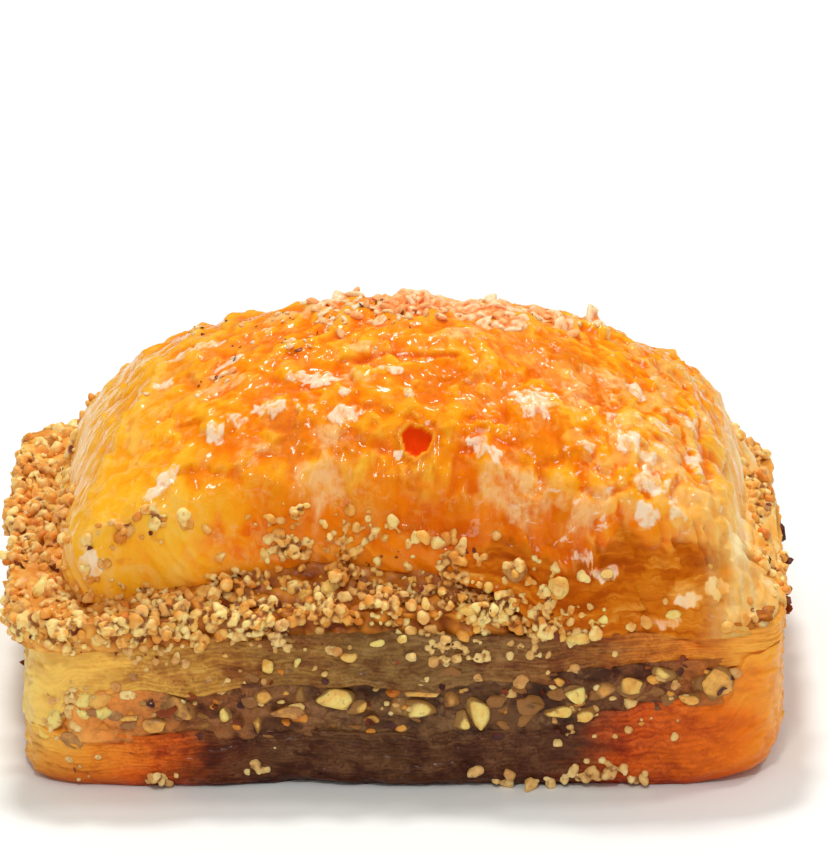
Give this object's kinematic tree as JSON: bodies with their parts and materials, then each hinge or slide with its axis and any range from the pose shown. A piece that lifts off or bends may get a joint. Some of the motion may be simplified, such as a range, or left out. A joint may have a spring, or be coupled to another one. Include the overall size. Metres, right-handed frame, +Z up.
{
  "type": "baklava piece",
  "caption": "Cut piece of walnut baklava with stacked pastry sheets, two chopped nut layers and a puffed, wrinkled, syrup-glazed crust strewn with ground nuts",
  "frame": {"origin": "middle of the footprint, on the underside that rests on the plate", "axes": "+X to the right along the long front cut face, +Y from the front cut face to the back, +Z up"},
  "size_m": [0.051, 0.0338, 0.027],
  "materials": {
    "bottom_pastry": "syrup-soaked pastry sheets, amber to grey-brown, moist sheen; stands in for food",
    "lower_nuts": "chopped walnuts, cream to brown with dark skins; stands in for food",
    "middle_pastry": "pale yellow to olive-brown pastry sheets, moist sheen; stands in for food",
    "upper_nuts": "finely chopped walnuts, warm cream with reddish skins; stands in for food",
    "top_pastry": "golden orange baked crust under glossy syrup; stands in for food"
  },
  "bodies": {
    "root": {"bottom_pastry": "bottom_pastry", "lower_nuts": "lower_nuts", "middle_pastry": "middle_pastry", "upper_nuts": "upper_nuts", "top_pastry": "top_pastry"}
  },
  "joints": []
}
